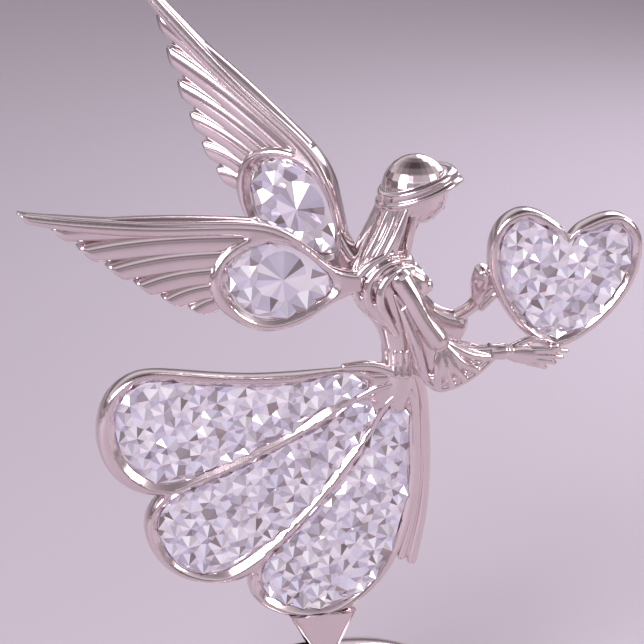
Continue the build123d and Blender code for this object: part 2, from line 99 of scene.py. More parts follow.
def baked(piece):
    """Replaces the piece's mesh by what its modifiers make of it."""
    graph = bpy.context.evaluated_depsgraph_get()
    mesh = bpy.data.meshes.new_from_object(piece.evaluated_get(graph))
    piece.modifiers.clear()
    piece.data = mesh
    return piece


# ---- materials --------------------------------------------------------------------------
def linear(hex_colour):
    """An sRGB hex colour as linear RGBA."""
    value = [int(hex_colour[i:i + 2], 16) / 255 for i in (1, 3, 5)]
    return [c / 12.92 if c <= 0.04045 else ((c + 0.055) / 1.055) ** 2.4 for c in value] + [1]


def node(tree, kind, settings=None, inputs=None):
    """Adds a node; inputs may be values or sockets of other nodes."""
    made = tree.nodes.new(kind)
    for key, value in (settings or {}).items():
        setattr(made, key, value)
    for key, value in (inputs or {}).items():
        if isinstance(value, bpy.types.NodeSocket):
            tree.links.new(value, made.inputs[key])
        else:
            made.inputs[key].default_value = value
    return made


def new_material(name):
    material = bpy.data.materials.new(name)
    material.use_nodes = True
    tree = material.node_tree
    tree.nodes.clear()
    shader = node(tree, "ShaderNodeBsdfPrincipled")
    output = node(tree, "ShaderNodeOutputMaterial")
    tree.links.new(shader.outputs[0], output.inputs["Surface"])
    place = node(tree, "ShaderNodeTexCoord").outputs["Object"]
    return material, tree, shader, place


def plated_zinc_casting():
    """Polished zinc casting under bright plate: mirror-like, with slow waves from buffing."""
    material, tree, shader, place = new_material("plated_zinc_casting")
    buffing = node(tree, "ShaderNodeTexNoise", inputs={
        "Vector": place, "Scale": 1 / (4.0 * MM), "Detail": 2.0})
    haze = node(tree, "ShaderNodeTexNoise", inputs={
        "Vector": place, "Scale": 1 / (9.0 * MM), "Detail": 3.0})
    tint = node(tree, "ShaderNodeMix", {"data_type": "RGBA"}, {
        "Factor": haze.outputs["Fac"], "A": linear("#E0D1D2"), "B": linear("#F0E4E4")})
    rough = node(tree, "ShaderNodeMapRange", inputs={
        "Value": haze.outputs["Fac"], "To Min": 0.10, "To Max": 0.19})
    bump = node(tree, "ShaderNodeBump", inputs={
        "Height": buffing.outputs["Fac"], "Strength": 0.12, "Distance": 0.12 * MM})
    tree.links.new(tint.outputs["Result"], shader.inputs["Base Color"])
    tree.links.new(rough.outputs["Result"], shader.inputs["Roughness"])
    tree.links.new(bump.outputs["Normal"], shader.inputs["Normal"])
    shader.inputs["Metallic"].default_value = 1.0
    return material


def cast_acrylic():
    """Clear cast acrylic, silvered at the back: each facet is a flat patch painted one random
    shade, near-white on some facets as a painted glint and grey on others as painted shade,
    standing in for the light each facet catches.
    """
    material, tree, shader, place = new_material("silvered_cast_acrylic")
    painted_facet_glint = node(tree, "ShaderNodeAttribute", {"attribute_name": "painted_facet_glint"})
    tint = node(tree, "ShaderNodeValToRGB", inputs={"Fac": painted_facet_glint.outputs["Fac"]})
    tint.color_ramp.interpolation = "CONSTANT"
    # painted light: stops from a near-white painted highlight down to grey painted shade
    shades = [(0.0, "#FBF8FE"), (0.45, "#E4E1F2"), (0.76, "#C8C2CE"), (0.92, "#A89C9E")]
    elements = tint.color_ramp.elements
    while len(elements) < len(shades):
        elements.new(0.5)
    for element, (start, colour) in zip(elements, shades):
        element.position = start
        element.color = linear(colour)
    tree.links.new(tint.outputs["Color"], shader.inputs["Base Color"])
    shader.inputs["Metallic"].default_value = 0.5
    shader.inputs["Roughness"].default_value = 0.07
    shader.inputs["IOR"].default_value = 1.49
    shader.inputs["Coat Weight"].default_value = 0.6
    shader.inputs["Coat Roughness"].default_value = 0.04
    return material


def bright_zinc_plate():
    """Steel under bright zinc: a cool, slightly blue grey with a fine satin grain."""
    material, tree, shader, place = new_material("bright_zinc_plated_steel")
    grain = node(tree, "ShaderNodeTexNoise", inputs={
        "Vector": place, "Scale": 1 / (0.6 * MM), "Detail": 3.0})
    tint = node(tree, "ShaderNodeMix", {"data_type": "RGBA"}, {
        "Factor": grain.outputs["Fac"], "A": linear("#A9ADB4"), "B": linear("#C9CCD0")})
    rough = node(tree, "ShaderNodeMapRange", inputs={
        "Value": grain.outputs["Fac"], "To Min": 0.22, "To Max": 0.38})
    tree.links.new(tint.outputs["Result"], shader.inputs["Base Color"])
    tree.links.new(rough.outputs["Result"], shader.inputs["Roughness"])
    shader.inputs["Metallic"].default_value = 1.0
    return material


def oiled_spring_steel():
    """Dark drawn wire with a thin film of oil."""
    material, tree, shader, place = new_material("oiled_spring_steel")
    film = node(tree, "ShaderNodeTexNoise", inputs={
        "Vector": place, "Scale": 1 / (1.5 * MM), "Detail": 2.0})
    tint = node(tree, "ShaderNodeMix", {"data_type": "RGBA"}, {
        "Factor": film.outputs["Fac"], "A": linear("#3B3A3D"), "B": linear("#5D5C60")})
    tree.links.new(tint.outputs["Result"], shader.inputs["Base Color"])
    shader.inputs["Metallic"].default_value = 1.0
    shader.inputs["Roughness"].default_value = 0.34
    return material


def moulded_rubber():
    """Black moulded rubber: matt, with a fine pebble from the mould."""
    material, tree, shader, place = new_material("moulded_rubber")
    pebble = node(tree, "ShaderNodeTexNoise", inputs={
        "Vector": place, "Scale": 1 / (0.5 * MM), "Detail": 2.0})
    tint = node(tree, "ShaderNodeMix", {"data_type": "RGBA"}, {
        "Factor": pebble.outputs["Fac"], "A": linear("#161616"), "B": linear("#262525")})
    bump = node(tree, "ShaderNodeBump", inputs={
        "Height": pebble.outputs["Fac"], "Strength": 0.4, "Distance": 0.06 * MM})
    tree.links.new(tint.outputs["Result"], shader.inputs["Base Color"])
    tree.links.new(bump.outputs["Normal"], shader.inputs["Normal"])
    shader.inputs["Roughness"].default_value = 0.75
    return material


PLATED = plated_zinc_casting()
ACRYLIC = cast_acrylic()
FINISH = {
    "plated_casting": PLATED,
    "clear_acrylic": ACRYLIC,
    "zinc_plated_steel": bright_zinc_plate(),
    "spring_steel": oiled_spring_steel(),
    "black_rubber": moulded_rubber(),
}
for entry in frame["record"]["subparts"]:
    cad_node = NODES[entry["node"]]
    cad_node.data.materials.clear()
    cad_node.data.materials.append(FINISH[entry["material_slot"]])


# ---- flat frames with rounded rims ------------------------------------------------------
def flat_axes(plane):
    """The plane's origin, its two directions and its normal, as arrays."""
    origin, across, up = (np.array(v, float) for v in plane)
    across = across / np.linalg.norm(across)
    up = up / np.linalg.norm(up)
    return origin, across, up, np.cross(across, up)


def section_loops(name, plane, depth):
    """Closed outlines of a CAD node cut parallel to a plane, in the plane's own coordinates."""
    origin, across, up, normal = flat_axes(plane)
    mesh = node_mesh(name)
    cut = bmesh.ops.bisect_plane(
        mesh, geom=mesh.verts[:] + mesh.edges[:] + mesh.faces[:], dist=1e-5,
        plane_co=origin + normal * depth, plane_no=normal)["geom_cut"]
    links = {}
    for edge in (g for g in cut if isinstance(g, bmesh.types.BMEdge)):
        a, b = edge.verts
        links.setdefault(a, []).append(b)
        links.setdefault(b, []).append(a)
    loops = []
    while links:
        first = next(iter(links))
        loop, here = [first], links.pop(first)[0]
        while here in links:
            loop.append(here)
            onward = [v for v in links.pop(here) if v in links]
            if not onward:
                break
            here = onward[0]
        flat = np.array([tuple(v.co) for v in loop]) - origin
        loops.append(np.stack([flat @ across, flat @ up], 1))
    mesh.free()
    return sorted((anticlockwise(loop) for loop in loops if len(loop) > 8),
                  key=lambda loop: -area(loop))


def area(loop):
    x, y = loop.T
    return 0.5 * float(np.sum(x * np.roll(y, -1) - y * np.roll(x, -1)))


def anticlockwise(loop):
    return loop if area(loop) > 0 else loop[::-1]


def evenly(loop, spacing):
    """A closed loop with its points spaced evenly along it."""
    closed = np.vstack([loop, loop[:1]])
    run = np.concatenate([[0], np.cumsum(np.linalg.norm(np.diff(closed, axis=0), axis=1))])
    count = max(12, int(round(run[-1] / spacing)))
    at = np.linspace(0, run[-1], count, endpoint=False)
    return np.stack([np.interp(at, run, closed[:, k]) for k in (0, 1)], 1)


def moved_in(loop, distance):
    """An anticlockwise loop moved towards its inside."""
    along = np.roll(loop, -1, 0) - np.roll(loop, 1, 0)
    along /= np.linalg.norm(along, axis=1)[:, None]
    return loop + np.stack([-along[:, 1], along[:, 0]], 1) * distance


def inside(points, loop):
    """Which points lie inside a closed loop."""
    x, y = points[:, 0][:, None], points[:, 1][:, None]
    ax, ay = loop.T
    bx, by = np.roll(loop, -1, 0).T
    level = (ay > y) != (by > y)
    with np.errstate(divide="ignore", invalid="ignore"):
        cross = x < (bx - ax) * (y - ay) / (by - ay) + ax
    return (np.sum(level & cross, axis=1) % 2) == 1


def distance_to(points, loops):
    """Each point's distance to the nearest of some closed loops."""
    best = np.full(len(points), 1e9)
    for loop in loops:
        a, b = loop, np.roll(loop, -1, 0)
        for start in range(0, len(points), 2000):
            p = points[start:start + 2000][:, None, :]
            ab = (b - a)[None]
            t = np.clip(np.sum((p - a) * ab, 2) / np.maximum(np.sum(ab * ab, 2), 1e-12), 0, 1)
            gap = np.linalg.norm(p - a - ab * t[..., None], axis=2).min(1)
            best[start:start + 2000] = np.minimum(best[start:start + 2000], gap)
    return best


ON_ROW = 0.03  # mm that a row's point may stray from its distance to its own edge
EDGE_GAP = 0.3  # mm kept between a row's points and the opposite edge, and between points


def filled(outer, holes, rows):
    """Triangles over the region between loops, with rows of points parallel to its edges."""
    edge_points = np.vstack([outer] + holes)
    extra = []
    for source, other in [(holes, [outer]), ([outer], holes)]:
        for loop in source:
            sign = 1 if loop is outer else -1
            for row in rows:
                line = moved_in(loop, sign * row)
                own = distance_to(line, source)
                clear = distance_to(line, other) if other else np.full(len(line), np.inf)
                keep = (np.abs(own - row) < ON_ROW) & (clear > EDGE_GAP) & inside(line, outer)
                for hole in holes:
                    keep &= ~inside(line, hole)
                extra.append(line[keep])
    inner = np.vstack(extra) if extra else np.zeros((0, 2))
    taken, chosen = set(), []
    for point in inner:
        key = tuple(np.floor(point / EDGE_GAP).astype(int))
        if key not in taken:
            taken.add(key)
            chosen.append(point)
    points = np.vstack([edge_points] + ([np.array(chosen)] if chosen else []))
    edges, start = [], 0
    for loop in [outer] + holes:
        count = len(loop)
        edges += [(start + k, start + (k + 1) % count) for k in range(count)]
        start += count
    made = delaunay_2d_cdt([Vector(p) for p in points], edges, [], 0, 1e-5)
    flat = np.array([tuple(v) for v in made[0]])
    faces = np.array([f for f in made[2] if len(f) == 3])
    middle = flat[faces].mean(1)
    keep = inside(middle, outer)
    for hole in holes:
        keep &= ~inside(middle, hole)
    where = {}
    for index, originals in enumerate(made[3]):
        for original in originals:
            where[original] = index
    return flat, faces[keep], [where[k] for k in range(len(edge_points))]


def rim_drop(points, outer, holes, bevel, slope, rounding):
    """How far the face falls away beside each window and at the outer edge."""
    drop = np.zeros(len(points))
    if holes:
        near = distance_to(points, holes)
        drop += np.maximum(0, bevel - near) * slope
    edge = np.minimum(distance_to(points, [outer]), rounding)
    return drop + rounding - np.sqrt(np.maximum(rounding ** 2 - (rounding - edge) ** 2, 0))


RIM_SPACING = 0.45
RIM_ROWS = [0.12, 0.35, 0.65, 1.0, 1.35, 1.7, 2.1, 2.8]  # mm in from an edge, closest at it


def cast_frame(outer, holes, plane, half_depth, front, bevel, slope, rounding, ledge, ledge_at):
    """Points and faces of a flat casting with rounded rims and stepped windows.

    front is the sign of the side along the plane's normal that the stones show on.
    """
    origin, across, up, normal = flat_axes(plane)
    outer = evenly(outer, RIM_SPACING)
    holes = [evenly(hole, RIM_SPACING) for hole in holes]
    ledges = [moved_in(hole, ledge) for hole in holes]
    points, faces = [], []

    def placed(flat, height):
        return origin + flat[:, :1] * across + flat[:, 1:] * up + height[:, None] * normal

    def add(flat, height, triangles, flip):
        start = len(points)
        points.extend(placed(flat, height))
        for a, b, c in triangles:
            faces.append((start + a, start + c, start + b) if flip else
                         (start + a, start + b, start + c))
        return start

    flat, triangles, edge = filled(outer, holes, RIM_ROWS)
    height = front * (half_depth - rim_drop(flat, outer, holes, bevel, slope, rounding))
    start = add(flat, height, triangles, front < 0)
    front_ring = [start + k for k in edge]
    flat, triangles, edge = filled(outer, ledges, RIM_ROWS[::2])
    height = -front * (half_depth - rim_drop(flat, outer, ledges, 0.3, 1.0, rounding))
    start = add(flat, height, triangles, front > 0)
    back_ring = [start + k for k in edge]

    def strip(first, second):
        count = len(first)
        for k in range(count):
            n = (k + 1) % count
            faces.append((first[k], first[n], second[n], second[k]))

    count = len(outer)
    strip(front_ring[:count], back_ring[:count])
    for hole, inner in zip(holes, ledges):
        step = np.full(len(hole), front * ledge_at)
        ring_a = list(range(len(points), len(points) + len(hole)))
        points.extend(placed(hole, step))
        ring_b = list(range(len(points), len(points) + len(hole)))
        points.extend(placed(inner, step))
        strip(front_ring[count:count + len(hole)], ring_a)
        strip(ring_a, ring_b)
        strip(ring_b, back_ring[count:count + len(hole)])
        count += len(hole)
    return points, faces


# ---- clear stones -----------------------------------------------------------------------
def stones_tree(name, with_centre):
    """Rows of faceted stones laid over a flat bed and trimmed to its edge.

    The bed is one flat face in X and Y whose front is +Z. With a centre stone, the rows stand
    clear of one large stone.
    """
    tree = bpy.data.node_groups.new(name, "GeometryNodeTree")
    sizes = ["pitch", "stone radius", "stone height", "edge reach", "row turn",
             "centre radius", "centre height", "bed depth"]
    tree.interface.new_socket("bed", in_out="INPUT", socket_type="NodeSocketGeometry")
    for label in sizes:
        tree.interface.new_socket(label, in_out="INPUT", socket_type="NodeSocketFloat")
    tree.interface.new_socket("centre place", in_out="INPUT", socket_type="NodeSocketVector")
    tree.interface.new_socket("material", in_out="INPUT", socket_type="NodeSocketMaterial")
    tree.interface.new_socket("stones", in_out="OUTPUT", socket_type="NodeSocketGeometry")
    given = node(tree, "NodeGroupInput").outputs
    bed = given["bed"]

    def maths(operation, *values):
        return node(tree, "ShaderNodeMath", {"operation": operation},
                    dict(enumerate(values))).outputs[0]

    def vector_maths(operation, *values):
        made = node(tree, "ShaderNodeVectorMath", {"operation": operation},
                    dict(enumerate(values)))
        return made.outputs["Value" if operation in ("DISTANCE", "LENGTH") else "Vector"]

    def over_bed(position):
        """Whether a point lies over the bed, and its nearest point on the bed's edge."""
        above = vector_maths("ADD", position, (0.0, 0.0, 0.05))
        cast = node(tree, "GeometryNodeRaycast", inputs={
            "Target Geometry": bed, "Source Position": above,
            "Ray Direction": (0.0, 0.0, -1.0), "Ray Length": 0.2})
        flat = vector_maths("MULTIPLY", position, (1.0, 1.0, 0.0))
        near = node(tree, "GeometryNodeProximity", {"target_element": "EDGES"}, {
            "Geometry": bed, "Sample Position": flat})
        return cast.outputs["Is Hit"], near

    # the lattice, turned a little, with every other row shifted by half a pitch
    box = node(tree, "GeometryNodeBoundBox", inputs={"Geometry": bed})
    span = vector_maths("LENGTH", vector_maths(
        "SUBTRACT", box.outputs["Max"], box.outputs["Min"]))
    middle = vector_maths("SCALE", vector_maths(
        "ADD", box.outputs["Max"], box.outputs["Min"]))
    middle.node.inputs["Scale"].default_value = 0.5
    row_pitch = maths("MULTIPLY", given["pitch"], 0.9)
    across = maths("FLOOR", maths("DIVIDE", span, given["pitch"]))
    rows = maths("FLOOR", maths("DIVIDE", span, row_pitch))
    grid = node(tree, "GeometryNodeMeshGrid", inputs={
        "Size X": maths("MULTIPLY", across, given["pitch"]),
        "Size Y": maths("MULTIPLY", rows, row_pitch),
        "Vertices X": maths("ADD", across, 1.0), "Vertices Y": maths("ADD", rows, 1.0)})
    position = node(tree, "GeometryNodeInputPosition").outputs[0]
    parts = node(tree, "ShaderNodeSeparateXYZ", inputs={"Vector": position})
    row = maths("ROUND", maths("DIVIDE", maths("ADD", parts.outputs["Y"], span), row_pitch))
    shift = maths("MULTIPLY", maths("MODULO", row, 2.0),
                  maths("MULTIPLY", given["pitch"], 0.5))
    stagger = node(tree, "ShaderNodeCombineXYZ", inputs={"X": shift})
    lattice = node(tree, "GeometryNodeSetPosition", inputs={
        "Geometry": grid.outputs["Mesh"], "Offset": stagger.outputs[0]})
    turn = node(tree, "ShaderNodeCombineXYZ", inputs={"Z": given["row turn"]})
    lattice = node(tree, "GeometryNodeTransform", inputs={
        "Geometry": lattice.outputs[0], "Translation": middle, "Rotation": turn.outputs[0]})
    hit, edge = over_bed(node(tree, "GeometryNodeInputPosition").outputs[0])
    keep = maths("MAXIMUM", hit, maths(
        "LESS_THAN", edge.outputs["Distance"], given["edge reach"]))
    if with_centre:
        reach = vector_maths("DISTANCE", node(tree, "GeometryNodeInputPosition").outputs[0],
                             given["centre place"])
        keep = maths("MULTIPLY", keep, maths("GREATER_THAN", reach, given["centre radius"]))
    places = node(tree, "GeometryNodeSeparateGeometry", {"domain": "POINT"}, {
        "Geometry": lattice.outputs[0], "Selection": keep})

    # one stone: a low cone of flat facets, sunk a little into the bed
    def stone(facets, radius, height):
        sunk = node(tree, "ShaderNodeCombineXYZ", inputs={
            "Z": maths("MULTIPLY", height, -0.16)})
        cone = node(tree, "GeometryNodeMeshCone", {"fill_type": "NGON"}, {
            "Vertices": facets, "Radius Top": 0.0, "Radius Bottom": radius, "Depth": height})
        return node(tree, "GeometryNodeTransform", inputs={
            "Geometry": cone.outputs["Mesh"], "Translation": sunk.outputs[0]}).outputs[0]

    seeds = iter((3, 7, 11))

    def vary(low, high):
        return node(tree, "FunctionNodeRandomValue", {"data_type": "FLOAT_VECTOR"}, {
            "Min": low, "Max": high, "Seed": next(seeds)}).outputs["Value"]

    moved = node(tree, "GeometryNodeSetPosition", inputs={
        "Geometry": places.outputs[0],
        "Offset": vary((-0.0005, -0.0005, 0.0), (0.0005, 0.0005, 0.0))})
    laid = node(tree, "GeometryNodeInstanceOnPoints", inputs={
        "Points": moved.outputs[0],
        "Instance": stone(9, given["stone radius"], given["stone height"]),
        "Rotation": vary((-0.10, -0.10, -0.12), (0.10, 0.10, 0.12)),
        "Scale": vary((0.90, 0.90, 0.92), (1.10, 1.10, 1.12))})
    joined = node(tree, "GeometryNodeJoinGeometry")
    tree.links.new(laid.outputs[0], joined.inputs[0])
    if with_centre:
        big = node(tree, "GeometryNodeTransform", inputs={
            "Geometry": stone(18, given["centre radius"], given["centre height"]),
            "Translation": given["centre place"]})
        tree.links.new(big.outputs[0], joined.inputs[0])
    loose = node(tree, "GeometryNodeRealizeInstances", inputs={
        "Geometry": joined.outputs[0]}).outputs[0]

    # what passes the bed's edge is trimmed back to it
    position = node(tree, "GeometryNodeInputPosition").outputs[0]
    hit, edge = over_bed(position)
    own = node(tree, "ShaderNodeSeparateXYZ", inputs={"Vector": position})
    rim = node(tree, "ShaderNodeSeparateXYZ", inputs={"Vector": edge.outputs["Position"]})
    back_on = node(tree, "ShaderNodeCombineXYZ", inputs={
        "X": rim.outputs["X"], "Y": rim.outputs["Y"], "Z": own.outputs["Z"]})
    trimmed = node(tree, "GeometryNodeSetPosition", inputs={
        "Geometry": loose, "Selection": maths("SUBTRACT", 1.0, hit),
        "Position": back_on.outputs[0]})

    # the closed plate that carries them
    down = node(tree, "ShaderNodeCombineXYZ", inputs={
        "Z": maths("MULTIPLY", given["bed depth"], -1.0)})
    sunk_face = node(tree, "GeometryNodeExtrudeMesh", {"mode": "FACES"}, {
        "Mesh": bed, "Offset": down.outputs[0], "Offset Scale": 1.0, "Individual": False})
    plate = node(tree, "GeometryNodeJoinGeometry")
    tree.links.new(sunk_face.outputs["Mesh"], plate.inputs[0])
    tree.links.new(bed, plate.inputs[0])
    closed = node(tree, "GeometryNodeMergeByDistance", inputs={
        "Geometry": plate.outputs[0], "Distance": 1e-6})
    whole = node(tree, "GeometryNodeJoinGeometry")
    tree.links.new(closed.outputs[0], whole.inputs[0])
    tree.links.new(trimmed.outputs[0], whole.inputs[0])
    # each face of stones and plate gets a random value; the acrylic turns it into that facet's
    # painted light, from painted glint to painted shade
    index = node(tree, "GeometryNodeInputIndex").outputs[0]
    shade = node(tree, "FunctionNodeRandomValue", {"data_type": "FLOAT"}, {
        "ID": index, "Seed": 5})
    shades = [o for o in shade.outputs if o.enabled][0]
    stored = node(tree, "GeometryNodeStoreNamedAttribute",
                  {"data_type": "FLOAT", "domain": "FACE"},
                  {"Geometry": whole.outputs[0], "Name": "painted_facet_glint", "Value": shades})
    real = node(tree, "GeometryNodeRealizeInstances", inputs={"Geometry": stored.outputs[0]})
    clad = node(tree, "GeometryNodeSetMaterial", inputs={
        "Geometry": real.outputs[0], "Material": given["material"]})
    output = node(tree, "NodeGroupOutput")
    tree.links.new(clad.outputs[0], output.inputs[0])
    return tree


ROWS = stones_tree("rows_of_stones", with_centre=False)
ROSETTE = stones_tree("stones_round_a_centre", with_centre=True)


OUTLINE_DEPTH = 0.5  # mm behind the plane, where an insert's outline is taken
OUTLINE_SPACING = 1.0


def faceted_insert(name, cad_name, plane, front, bed_at, tree, sizes, centre=(0, 0)):
    """A moulded insert: a plate inside the CAD insert's outline with stones over its front."""
    origin, across, up, normal = flat_axes(plane)
    loop = evenly(section_loops(cad_name, plane, front * -OUTLINE_DEPTH)[0], OUTLINE_SPACING)
    if front < 0:
        loop = loop[::-1] * (-1, 1)
    points = [(x, y, 0) for x, y in anticlockwise(loop)]
    bed = new_piece(name, points, [tuple(range(len(points)))], ACRYLIC, smooth=False)
    stones = bed.modifiers.new("stones", "NODES")
    values = dict(sizes, **{"centre place": (centre[0] * MM * front, centre[1] * MM, 0.0),
                            "material": ACRYLIC})
    stones.node_group = tree
    for item in tree.interface.items_tree:
        if item.in_out == "INPUT" and item.name in values:
            stones[item.identifier] = values[item.name]
    baked(bed)
    to_frame = Matrix.Identity(4)
    for column, axis in enumerate((across * front, up, normal * front)):
        for line in range(3):
            to_frame[line][column] = axis[line]
    for line in range(3):
        to_frame[line][3] = (origin[line] + normal[line] * front * bed_at) * MM
    bed.data.transform(to_frame)
    outward(bed)
    bed.data.polygons.foreach_set("use_smooth", [False] * len(bed.data.polygons))
    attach(bed, "mascot")
    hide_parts(cad_name)


# ---- swept and sculpted shapes ----------------------------------------------------------
def smooth_path(points, steps):
    """Points along a smooth curve through the given ones, whatever else each row carries."""
    rows = np.array(points, float)
    ends = np.vstack([2 * rows[0] - rows[1], rows, 2 * rows[-1] - rows[-2]])
    out = []
    for k in range(1, len(rows)):
        p0, p1, p2, p3 = ends[k - 1:k + 3]
        for t in np.arange(steps) / steps:
            out.append(0.5 * (2 * p1 + (p2 - p0) * t + (2 * p0 - 5 * p1 + 4 * p2 - p3) * t ** 2
                              + (3 * p1 - p0 - 3 * p2 + p3) * t ** 3))
    out.append(rows[-1])
    return np.array(out)


ROUND_END = (0.95, 0.75, 0.4)  # where a tube's end is ringed, as shares of its radius


class Clay:
    """Closed shells that are melted into one smooth skin."""

    def __init__(self):
        self.points, self.faces = [], []

    def shell(self, rings):
        """Closes a row of equal rings of points into a shell."""
        start, sides = len(self.points), len(rings[0])
        for ring in rings:
            self.points.extend(ring)
        for r in range(len(rings) - 1):
            for k in range(sides):
                a, b = start + r * sides + k, start + r * sides + (k + 1) % sides
                self.faces.append((a, b, b + sides, a + sides))
        last = start + (len(rings) - 1) * sides
        self.faces.append(tuple(range(start, start + sides))[::-1])
        self.faces.append(tuple(range(last, last + sides)))

    def tube(self, rows, side=(0, 1, 0), steps=6, sides=14, both_hands=False):
        """Sweeps an ellipse: each row is x, y, z, its half size along side and across it."""
        rows = [tuple(r) + (r[3],) if len(r) == 4 else tuple(r) for r in rows]
        path = smooth_path(rows, steps)
        middle, sizes = path[:, :3], np.maximum(path[:, 3:5], 0.05)
        along = np.gradient(middle, axis=0)
        along /= np.linalg.norm(along, axis=1)[:, None]
        first = np.array(side, float) - along * (along @ np.array(side, float))[:, None]
        first /= np.linalg.norm(first, axis=1)[:, None]
        second = np.cross(along, first)
        turn = np.linspace(0, 2 * math.pi, sides, endpoint=False)
        rings = []
        order = [(0, -1, k) for k in ROUND_END]
        order += [(k, 0, 0) for k in range(len(path))]
        order += [(len(path) - 1, 1, k) for k in ROUND_END[::-1]]
        for at, way, k in order:
            shrink = math.sqrt(1 - k * k)
            centre = middle[at] + along[at] * way * k * sizes[at].min()
            rings.append(centre + shrink * (
                np.cos(turn)[:, None] * first[at] * sizes[at, 0]
                + np.sin(turn)[:, None] * second[at] * sizes[at, 1]))
        self.shell([[tuple(q) for q in ring] for ring in rings])
        if both_hands:
            self.shell([[(x, -y, z) for x, y, z in ring] for ring in rings])

    def ball(self, middle, radii, tilt=0.0, both_hands=False):
        """An ellipsoid; tilt turns it about Y, nose down, in degrees."""
        lean = Matrix.Rotation(math.radians(tilt), 3, "Y")
        rings = []
        for latitude in np.linspace(-86, 86, 15):
            level, flat = math.sin(math.radians(latitude)), math.cos(math.radians(latitude))
            rings.append([
                tuple(lean @ Vector((radii[0] * flat * math.cos(a), radii[1] * flat * math.sin(a),
                                     radii[2] * level)) + Vector(middle))
                for a in np.linspace(0, 2 * math.pi, 24, endpoint=False)])
        self.shell(rings)
        if both_hands:
            self.shell([[(x, -y, z) for x, y, z in ring] for ring in rings])

    def skin(self, name, grain, softening):
        """Melts the shells together on a grid of the given grain and smooths the skin."""
        piece = outward(new_piece(name, self.points, self.faces, PLATED))
        melt = piece.modifiers.new("melt", "REMESH")
        melt.mode = "VOXEL"
        melt.voxel_size = grain * MM
        melt.use_smooth_shade = True
        soften = piece.modifiers.new("soften", "SMOOTH")
        soften.factor = 0.5
        soften.iterations = softening
        return baked(piece)


def stands_for(piece, *cad_names):
    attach(piece, "mascot")
    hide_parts(*cad_names)


# ---- camera, light and floor ------------------------------------------------------------
def studio():
    scene = bpy.context.scene
    azimuth, height = math.radians(-12), math.radians(20)
    back = Vector((math.sin(azimuth) * math.cos(height), -math.cos(azimuth) * math.cos(height),
                   math.sin(height)))
    target = Vector((0, 0, 0.0993))
    distance = 0.56
    camera = bpy.data.objects.new("camera", bpy.data.cameras.new("camera"))
    camera.location = target + back * distance
    camera.rotation_euler = (-back).to_track_quat("-Z", "Y").to_euler()
    camera.data.sensor_width = 36.0
    camera.data.lens = 131.5
    camera.data.clip_start = 0.01
    scene.collection.objects.link(camera)
    scene.camera = camera

    world = bpy.data.worlds.new("studio")
    world.use_nodes = True
    tree = world.node_tree
    tree.nodes.clear()
    scene.world = world
    # a pale room with softly banded walls, so that polished metal has something to show
    direction = node(tree, "ShaderNodeTexCoord").outputs["Generated"]
    split = node(tree, "ShaderNodeSeparateXYZ", inputs={"Vector": direction})
    ramp = node(tree, "ShaderNodeValToRGB", inputs={"Fac": node(
        tree, "ShaderNodeMapRange", inputs={
            "Value": split.outputs["Z"], "From Min": -1.0, "From Max": 1.0}).outputs["Result"]})
    stops = [(0.0, "#4E4246"), (0.44, "#5E5054"), (0.51, "#CFC4CC"), (0.58, "#6C5F63"),
             (0.645, "#A69CA6"), (0.70, "#FBF8FF"), (0.80, "#D8CED8"), (1.0, "#544A4E")]
    elements = ramp.color_ramp.elements
    while len(elements) < len(stops):
        elements.new(0.5)
    for element, (place, colour) in zip(elements, stops):
        element.position = place
        element.color = linear(colour)
    background = node(tree, "ShaderNodeBackground", inputs={
        "Color": ramp.outputs["Color"], "Strength": 0.85})
    output = node(tree, "ShaderNodeOutputWorld")
    tree.links.new(background.outputs[0], output.inputs[0])

    lights = [
        ("window", (-0.50, -0.40, 0.50), 0.50, 4.0, "#FBF4FF"),
        ("panel", (0.60, -0.25, 0.35), 0.28, 1.3, "#FFF4F0"),
        ("sky", (0.42, 0.45, 0.45), 0.55, 2.4, "#F6F0FF"),
    ]
    for name, place, size, power, colour in lights:
        light = bpy.data.lights.new(name, "AREA")
        light.shape = "DISK"
        light.size = size
        light.energy = power
        light.color = linear(colour)[:3]
        lamp = bpy.data.objects.new(name, light)
        lamp.location = place
        aim = target - Vector(place)
        lamp.rotation_euler = aim.to_track_quat("-Z", "Y").to_euler()
        scene.collection.objects.link(lamp)

    scene.view_settings.view_transform = "Standard"
    floor_material, tree, shader, place = new_material("pale_floor")
    shader.inputs["Base Color"].default_value = linear("#CCC4CB")
    shader.inputs["Roughness"].default_value = 0.6
    half = 3000.0
    low = cad_box[0][2] / MM
    floor = new_piece("floor", [(-half, -half, low), (half, -half, low), (half, half, low),
                                (-half, half, low)], [(0, 1, 2, 3)], floor_material)


studio()

# ---- skirt ------------------------------------------------------------------------------
FACE_ON = ((0, 0, 0), (1, 0, 0), (0, 0, 1))  # the plane of skirt and heart; its normal is -Y
BED_AT = 0.9  # mm from that plane to the face that the stones stand on
SMALL_STONES = {
    "pitch": 4.6 * MM, "stone radius": 3.9 * MM, "stone height": 1.85 * MM,
    "edge reach": 1.3 * MM, "row turn": math.radians(8), "bed depth": 2.6 * MM,
}


